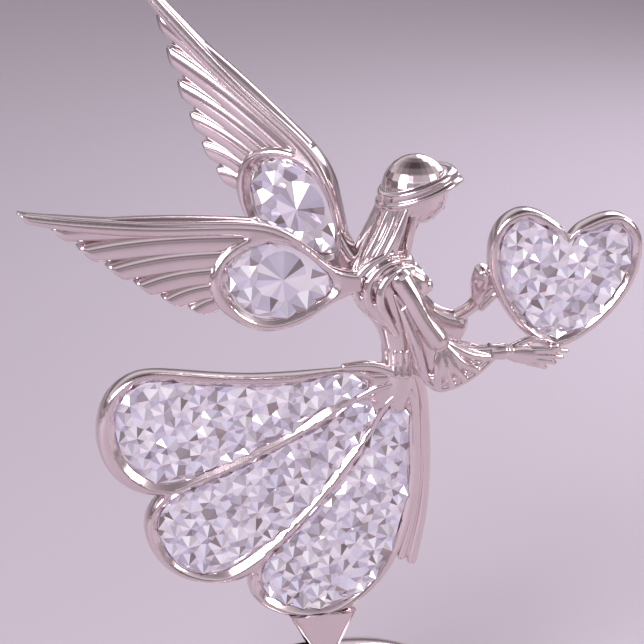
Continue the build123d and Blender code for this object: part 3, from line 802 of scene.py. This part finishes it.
def skirt_frame():
    loops = section_loops("skirt_frame", FACE_ON, 2.45)
    points, faces = cast_frame(
        loops[0], loops[1:4], FACE_ON, half_depth=3.0, front=1, bevel=1.7, slope=0.85,
        rounding=1.9, ledge=0.8, ledge_at=-1.8)
    extras = Clay()
    extras.tube([(19.4, 0, 89, 4.4), (19.2, 0, 85, 4.6), (18.8, 0, 81, 4.2, 4.0),
                 (18.4, 0, 77.5, 3.2, 3.0)], sides=32)
    # the rims and webs run on into the hub as soft ridges
    for ridge in ([(5.0, -2.0, 88.2, 0.9), (11.0, -2.4, 88.2, 1.3), (16.0, -2.8, 86.6, 1.2),
                   (20.0, -3.4, 84.6, 0.8)],
                  [(8.6, -1.8, 80.0, 0.8), (13.0, -2.3, 82.2, 1.1), (17.4, -3.0, 83.4, 0.8)],
                  [(12.2, -1.8, 71.6, 0.7), (14.6, -2.2, 76.8, 0.9), (18.0, -2.9, 80.6, 0.8)],
                  [(22.9, -1.8, 66.0, 0.8), (22.6, -2.2, 76.0, 1.0), (20.6, -3.0, 81.6, 0.9)]):
        extras.tube(ridge)
    # the sash's tail: two round rails that part towards its blunt end
    extras.tube([(22.8, -2.4, 85.0, 1.2), (24.6, -1.8, 79, 1.2), (25.6, -1.2, 68, 1.1),
                 (25.8, -0.9, 58, 1.1), (25.0, -0.9, 47.5, 1.2), (22.6, -0.9, 35.4, 1.4)])
    extras.tube([(21.0, -3.0, 85.4, 1.0), (22.6, -2.2, 79, 1.0), (23.4, -1.6, 68, 0.9),
                 (23.6, -1.4, 58, 0.9), (22.6, -1.2, 47.5, 1.0), (20.0, -1.0, 36.6, 1.2)])
    extras.tube([(24.4, -0.6, 78, 2.0, 1.0), (24.6, 0.2, 58, 2.0, 1.3),
                 (21.6, 0.2, 37, 2.0, 1.7)])
    faces += [tuple(k + len(points) for k in face) for face in extras.faces]
    points += extras.points
    piece = outward(new_piece("skirt_casting", points, faces, PLATED))
    stands_for(piece, "skirt_frame")


skirt_frame()
for tier, turn in (("upper", 10), ("middle", 24), ("lower", 40)):
    faceted_insert(f"skirt_stones_{tier}", f"skirt_insert_{tier}", FACE_ON, 1,
                   BED_AT, ROWS, dict(SMALL_STONES, **{"row turn": math.radians(turn)}))

# ---- heart ------------------------------------------------------------------------------
def heart():
    loops = section_loops("heart_frame", FACE_ON, 2.3)
    points, faces = cast_frame(
        loops[0], loops[1:2], FACE_ON, half_depth=2.5, front=1, bevel=1.0, slope=1.0,
        rounding=1.25, ledge=0.8, ledge_at=-1.3)
    stands_for(outward(new_piece("heart_casting", points, faces, PLATED)), "heart_frame")
    faceted_insert("heart_stones", "heart_insert", FACE_ON, 1, BED_AT, ROWS,
                   dict(SMALL_STONES, **{"row turn": math.radians(-6)}))


heart()


# ---- wings ------------------------------------------------------------------------------
def wing_axes(root, splay, lift):
    """Origin, outward and upward directions of a wing's plane."""
    turn = Matrix.Rotation(math.radians(-splay), 3, "Z")
    back = turn @ Vector((-1, 0, 0))
    side = back.cross(Vector((0, 0, 1)))
    rise = Matrix.Rotation(math.radians(lift), 3, side)
    return root, tuple(rise @ back), tuple(rise @ Vector((0, 0, 1)))


# Feathers from the bar down: where each starts, where it ends, its width.
FEATHERS = [
    ((24, 14.6), (70.5, 18.8), 5.2),
    ((27, 12), (64.2, 13.4), 5.8),
    ((30, 8.6), (57.6, 8.2), 5.8),
    ((31.4, 4.8), (51, 3.6), 5.6),
    ((31.4, 1.2), (44.6, -0.4), 5.2),
    ((30.4, -2), (38.2, -3.4), 4.8),
]


# The line of the leading bar's upper face, from the shoulder to the tip.
BAR_TOP = [(6.4, 4.6), (12.2, 9.5), (17, 13.2), (21.9, 15.6), (27.9, 17), (37.4, 18),
           (49.1, 19.1), (60.6, 20.8), (72, 22.9), (79.5, 24.4)]


# The bar's section: height above that line, and place across the wing's thickness.
BAR_SECTION = [(0.35, -2.9), (0.5, -2.7), (0.5, 2.7), (0.35, 2.9), (-0.6, 3.0), (-1.6, 2.4),
               (-2.3, 1.2), (-2.3, -1.2), (-1.6, -2.4), (-0.6, -3.0)]


FEATHER_ROWS, FEATHER_COLUMNS = 26, 13
FEATHER_STEP = 0.12  # mm that each feather lies behind the one above it
BIG_STONE = dict(SMALL_STONES, **{
    "centre radius": 7.6 * MM, "centre height": 2.6 * MM, "row turn": 0.5,
    "pitch": 5.4 * MM, "stone radius": 4.6 * MM})


def feather(placed, first, start, end, width, sunk):
    """Points and faces of one closed feather: crowned in front, cut slanting at its tip."""
    start, end = np.array(start), np.array(end)
    length = np.linalg.norm(end - start)
    run = (end - start) / length
    cross = np.array([-run[1], run[0]])
    rows, columns = FEATHER_ROWS, FEATHER_COLUMNS
    second = first + rows * columns
    front, back, faces = [], [], []
    for i in range(rows):
        t = i / (rows - 1)
        for j in range(columns):
            v = 1 - 2 * j / (columns - 1)
            reach = length + 3.0 - 2.4 * (1 - v) - 1.2 * abs(v) ** 5
            flat = start + run * t * reach + cross * (v * width / 2 * (1 - 0.25 * t ** 6)
                                                      + 0.9 * math.sin(math.pi * t))
            crown = (1 - abs(v) ** 2.6) ** 0.7
            front.append(placed(flat, -(0.5 + 1.5 * crown - sunk)))
            back.append(placed(flat, 1.7 - 0.5 * abs(v) ** 3))
    for i in range(rows - 1):
        for j in range(columns - 1):
            a = first + i * columns + j
            faces.append((a, a + 1, a + columns + 1, a + columns))
            b = second + i * columns + j
            faces.append((b, b + columns, b + columns + 1, b + 1))
    edge = ([(i, 0) for i in range(rows)] + [(rows - 1, j) for j in range(1, columns)]
            + [(i, columns - 1) for i in range(rows - 2, -1, -1)]
            + [(0, j) for j in range(columns - 2, 0, -1)])
    for (i, j), (m, n) in zip(edge, edge[1:] + edge[:1]):
        faces.append((first + i * columns + j, second + i * columns + j,
                      second + m * columns + n, first + m * columns + n))
    return front + back, faces


def leading_bar(placed, first):
    """Points and faces of the bar: flat above, round below, slimmer at its root and tip."""
    path = smooth_path(BAR_TOP, 5)[:, :2]
    along = np.gradient(path, axis=0)
    along /= np.linalg.norm(along, axis=1)[:, None]
    above = np.column_stack([along[:, 1], -along[:, 0]])
    above *= np.sign(above[:, 1:2])
    points, faces = [], []
    for i, (flat, rise) in enumerate(zip(path, above)):
        t = i / (len(path) - 1)
        full = min(1, 0.45 + 3 * t) * (1 - 0.8 * t ** 3)
        for over, out in BAR_SECTION:
            points.append(placed(flat + rise * over * full, out * full))
    ring = len(BAR_SECTION)
    for i in range(len(path) - 1):
        for j in range(ring):
            a, b = first + i * ring + j, first + i * ring + (j + 1) % ring
            faces.append((a, b, b + ring, a + ring))
    last = first + len(points) - 1
    faces.append(tuple(range(first, first + ring)))
    faces.append(tuple(range(last, last - ring, -1)))
    return points, faces


def wing(side, plane):
    origin, across, up, normal = flat_axes(plane)

    def placed(flat, height):
        return origin + flat[0] * across + flat[1] * up + height * normal

    loops = section_loops(f"{side}_wing_frame", plane, -2.5)
    points, faces = cast_frame(
        loops[0], loops[1:2], plane, half_depth=2.9, front=-1, bevel=1.2, slope=0.9,
        rounding=1.4, ledge=0.8, ledge_at=-1.6)
    for number, (start, end, width) in enumerate(FEATHERS):
        more, sides = feather(placed, len(points), start, end, width, FEATHER_STEP * number)
        points += more
        faces += sides
    more, sides = leading_bar(placed, len(points))
    points += more
    faces += sides
    stands_for(outward(new_piece(f"{side}_wing_casting", points, faces, PLATED)),
               f"{side}_wing_frame")
    faceted_insert(f"{side}_wing_stones", f"{side}_wing_stone", plane, -1, 0.8, ROSETTE,
                   BIG_STONE, centre=(18.6, 2.6))


wing("right", wing_axes((6.7, -4.5, 111.4), -8, 0))
wing("left", wing_axes((8.8, 1.5, 113.3), 32, 33))


# ---- figure -----------------------------------------------------------------------------
GATHERS = 18  # fine folds round the waist


def torso():
    clay = Clay()
    clay.tube([(19.4, 0, 84.5, 4.4), (19.2, 0, 90, 4.1), (18.4, 0, 97, 4.9), (16.8, 0, 103.5, 6.8),
               (15.6, 0, 109, 7.6, 7.0), (15.0, 0, 113.4, 6.4, 5.4), (15.6, 0, 117, 3.6, 3.4)],
              sides=28)
    clay.ball((13.2, 0, 109.5), (6.4, 7.6, 6.6))
    # bust
    clay.ball((20.4, -3.6, 107.6), (4.4, 3.6, 4.2), both_hands=True)
    clay.tube([(19.5, -3.4, 110.6, 3.4), (22.2, -3.7, 109.2, 3.0), (24.0, -3.8, 108.2, 2.2)],
              both_hands=True)
    # the shawl's double border, then its folds, running from the neck over the shoulder
    clay.ball((17.6, 0, 112.4), (5.0, 6.4, 4.4))
    clay.tube([(19.8, -3.4, 116.0, 0.6), (14.5, -5.8, 117.0, 0.9), (9.8, -6.4, 114.8, 1.1),
               (7.0, -6.2, 111.4, 1.1), (6.9, -6.4, 107.8, 1.1), (9.2, -6.4, 104, 1.0),
               (13.0, -5.4, 100.6, 0.8)], both_hands=True)
    clay.tube([(20.6, -4.2, 114.8, 0.5), (15.0, -7.0, 115.4, 0.9), (11.0, -7.6, 113, 1.1),
               (9.2, -7.8, 109.6, 1.1), (9.8, -7.8, 105.6, 1.1), (12.4, -7.2, 101.4, 1.0),
               (15.6, -5.6, 97.6, 0.7)], both_hands=True)
    clay.tube([(20.8, -5.0, 113.2, 0.5), (16.0, -8.0, 113.4, 0.9), (12.8, -8.8, 110.6, 1.1),
               (12.0, -9.0, 106.8, 1.1), (13.6, -8.6, 102.4, 1.1), (16.4, -7.4, 97.6, 0.9)],
              both_hands=True)
    # waist: a band above fine gathers
    for k in range(GATHERS):
        turn = 2 * math.pi * k / GATHERS
        clay.tube([(19.3 + 4.3 * math.cos(turn), 4.3 * math.sin(turn), 91.5, 0.5),
                   (19.3 + 4.0 * math.cos(turn), 4.0 * math.sin(turn), 88.4, 0.62),
                   (19.4 + 4.7 * math.cos(turn), 4.7 * math.sin(turn), 85.4, 0.6)],
                  side=(math.cos(turn), math.sin(turn), 0), sides=8)
    piece = clay.skin("torso_casting", 0.28, 3)
    stands_for(piece, "torso")


def band(middle, radius_x, radius_y, slope, droop, size):
    """Rows for a closed band round the head: higher at the front, with a drooping tip."""
    rows = []
    for k in range(25):
        turn = 2 * math.pi * k / 24
        front = max(math.cos(turn), 0.0)
        rise = slope * radius_x * math.cos(turn) - droop * front ** 6
        rows.append((middle[0] + radius_x * math.cos(turn),
                     middle[1] + radius_y * math.sin(turn), middle[2] + rise, *size))
    return rows


def head():
    clay = Clay()
    clay.ball((22.4, 0, 131.0), (8.1, 7.6, 8.4))
    # the cap's brim: a broad band between two rolled edges, drawn out to a peak in front
    clay.ball((24.6, 0, 132.6), (8.2, 7.0, 1.5), tilt=-18)
    clay.tube(band((23.0, 0, 132.0), 8.9, 8.0, 0.34, 0.9, (1.7, 0.7)), side=(0, 0, 1), steps=3)
    clay.tube(band((22.6, 0, 133.1), 8.4, 7.9, 0.34, 0.5, (0.75, 0.8)), side=(0, 0, 1), steps=3)
    clay.tube(band((23.4, 0, 131.2), 9.7, 8.5, 0.34, 1.5, (0.75, 0.85)), side=(0, 0, 1), steps=3)
    # face: brow, cheeks, nose, lips and chin, with a large lidded eye on each side
    clay.ball((23.0, 0, 128.8), (5.2, 4.1, 5.2))
    clay.ball((24.4, 0, 124.9), (2.4, 2.3, 2.4))
    clay.ball((24.0, -2.5, 126.8), (2.7, 2.0, 2.7), both_hands=True)
    clay.tube([(27.7, 0, 131.2, 0.8), (28.3, 0, 128.4, 0.8), (28.9, 0, 126.2, 0.9)])
    clay.ball((27.0, 0, 124.9), (0.9, 1.2, 0.5))
    clay.ball((26.6, 0, 123.8), (0.8, 1.0, 0.5))
    clay.ball((26.4, -3.2, 129.3), (0.9, 0.8, 0.8), both_hands=True)
    clay.tube([(24.4, -4.9, 129.4, 0.45), (25.6, -4.7, 130.7, 0.5), (27.2, -3.4, 130.9, 0.5),
               (28.2, -1.8, 130.2, 0.4)], both_hands=True)
    clay.tube([(24.8, -4.8, 128.8, 0.35), (26.0, -4.3, 127.9, 0.4), (27.4, -2.9, 128.2, 0.35)],
              both_hands=True)
    # neck, long hair down the back and the strand before each ear
    clay.tube([(17.0, 0, 114.5, 3.4), (19.2, 0, 119, 2.6), (21.4, 0, 124.5, 2.8)])
    clay.tube([(17.6, 0, 129.5, 6.4, 3.6), (15.4, 0, 124.6, 6.0, 3.0), (12.8, 0, 119.4, 6.0, 3.0),
               (10.6, 0, 114.4, 6.0, 3.0), (9.6, 0, 111.4, 5.2, 2.2)], sides=24)
    for x, y in ((0.6, -5.6), (2.6, -5.8), (-1.4, -4.4), (-2.2, -2.2)):
        clay.tube([(16.4 + x, y, 127.6, 0.7), (13.8 + x, y * 1.04, 121.6, 0.8),
                   (10.8 + x, y * 1.06, 116.0, 0.8), (9.0 + x, y, 112.4, 0.5)], both_hands=True)
    clay.tube([(21.6, -5.0, 130.0, 1.0), (20.6, -5.2, 124, 1.0), (19.8, -4.8, 119.6, 1.0),
               (19.6, -3.6, 114.6, 0.6)], both_hands=True)
    clay.tube([(19.6, -5.6, 129.6, 0.7), (18.2, -5.9, 124.6, 0.8), (16.6, -6.0, 119.6, 0.8),
               (16.2, -5.2, 115.2, 0.4)], both_hands=True)
    piece = clay.skin("head_casting", 0.2, 2)
    stands_for(piece, "head")


def near_arm():
    clay = Clay()
    clay.tube([(17.2, -6.8, 111.0, 3.0), (20.0, -8.0, 106.4, 2.7), (22.8, -8.8, 101, 2.6),
               (26.0, -9.0, 96.2, 2.8)])
    # the bell sleeve hangs from the elbow to its hem
    clay.tube([(22.4, -7.4, 98.5, 1.6, 3.0), (25.4, -7.6, 92.6, 1.7, 5.2),
               (28.4, -7.4, 88.4, 1.6, 5.6), (31.0, -7.2, 86.2, 1.2, 4.2)])
    clay.tube([(27.0, -7.8, 94.2, 1.6, 2.4), (33.0, -7.0, 90.8, 1.6, 3.6),
               (39.0, -6.2, 90.2, 1.4, 2.2)])
    hem = [(21.8, -8.0, 89.6), (23.6, -9.0, 86.0), (26.4, -9.4, 83.8), (29.8, -9.2, 84.0),
           (33.2, -8.8, 85.2), (36.6, -8.2, 87.0), (40.4, -7.2, 89.8)]
    tops = [(15.8, -7.8, 107.4), (17.6, -8.8, 104.0), (26.2, -10.0, 95.4), (26.6, -10.2, 95.2),
            (27.2, -10.0, 95.0), (28.0, -9.6, 94.8), (28.6, -9.2, 95.0)]
    for top, low in zip(tops, hem):
        middle = [(a + b) / 2 for a, b in zip(top, low)]
        sag = 0.9 if top[2] < 100 else -0.6
        clay.tube([(*top, 0.45), (middle[0] - sag * 0.4, middle[1] - 0.5, middle[2] - sag, 1.1),
                   (*low, 0.9)])
    clay.tube([(*p, 0.9) for p in hem])
    clay.tube([(x + 0.1, y + 0.7, z + 2.0, 0.7, 2.0) for x, y, z in hem])
    clay.tube([(p[0] - 0.2, p[1] - 0.2, p[2] + 1.5, 0.5) for p in hem])
    # sleeve's upper edge, cuff and hand
    clay.tube([(27.4, -8.6, 95.4, 1.2), (34.0, -7.6, 92.4, 1.2), (41.6, -6.2, 91.4, 1.3)])
    clay.tube([(40.0, -6.4, 90.8, 1.7), (43.2, -5.8, 90.6, 2.1), (44.0, -5.7, 90.5, 1.8)])
    clay.tube([(43.6, -5.6, 90.4, 1.4), (47.4, -4.9, 89.4, 1.4, 2.4),
               (51.4, -4.6, 88.4, 1.2, 2.4)])
    clay.tube([(45.6, -4.9, 91.2, 0.8), (50.0, -4.2, 92.4, 0.9), (54.4, -3.8, 91.8, 0.65)])
    clay.ball((56.5, -4.4, 90.0), (1.7, 1.2, 1.5))
    for reach, low, root in ((60.0, 88.8, 90.0), (58.8, 87.2, 88.9), (57.0, 85.9, 87.8),
                             (54.6, 84.9, 86.9)):
        clay.tube([(50.0, -4.8, root, 0.9), ((50 + reach) / 2, -4.8, (root + low) / 2 + 0.3, 0.85),
                   (reach, -3.9, low, 0.6)], sides=10)
    piece = clay.skin("near_arm_casting", 0.24, 3)
    stands_for(piece, "right_arm")


def far_arm():
    clay = Clay()
    clay.tube([(17.2, 6.8, 110.4, 3.0), (22.0, 8.2, 104, 2.7), (27.4, 8.8, 97.8, 2.7)])
    clay.tube([(25.6, 8.8, 98.6, 2.4, 2.6), (31.0, 8.6, 94.8, 2.4, 3.2),
               (35.6, 8.2, 93.0, 2.6, 3.8)])
    clay.tube([(35.8, 8.0, 96.8, 0.8), (36.4, 6.0, 93, 0.8), (35.8, 8.0, 89.3, 0.8)],
              side=(1, 0, 0))
    clay.tube([(33.6, 8.2, 94.4, 1.6), (38.4, 7.0, 97.6, 1.7), (41.4, 5.8, 101.6, 1.5, 2.1)])
    clay.ball((40.4, 4.6, 107.4), (1.7, 2.6, 2.0))
    clay.tube([(40.4, 6.2, 101, 1.6, 2.0), (40.4, 5.4, 105, 1.7, 2.4), (40.6, 5.0, 108, 1.5, 2.0)])
    for x, z in ((44.6, 107.0), (45.6, 104.8), (46.0, 102.6)):
        clay.tube([(41.0, 5.6, z - 4.6, 1.0), ((41.6 + x) / 2, 4.9, z - 1.6, 0.95),
                   (x, 3.6, z, 0.7)], sides=10)
    clay.tube([(39.6, 5.6, 99.6, 0.8), (41.0, 3.9, 103.6, 0.85), (41.8, 3.4, 106.2, 0.7)], sides=10)
    piece = clay.skin("far_arm_casting", 0.24, 3)
    stands_for(piece, "left_arm")


torso()
head()
near_arm()
far_arm()
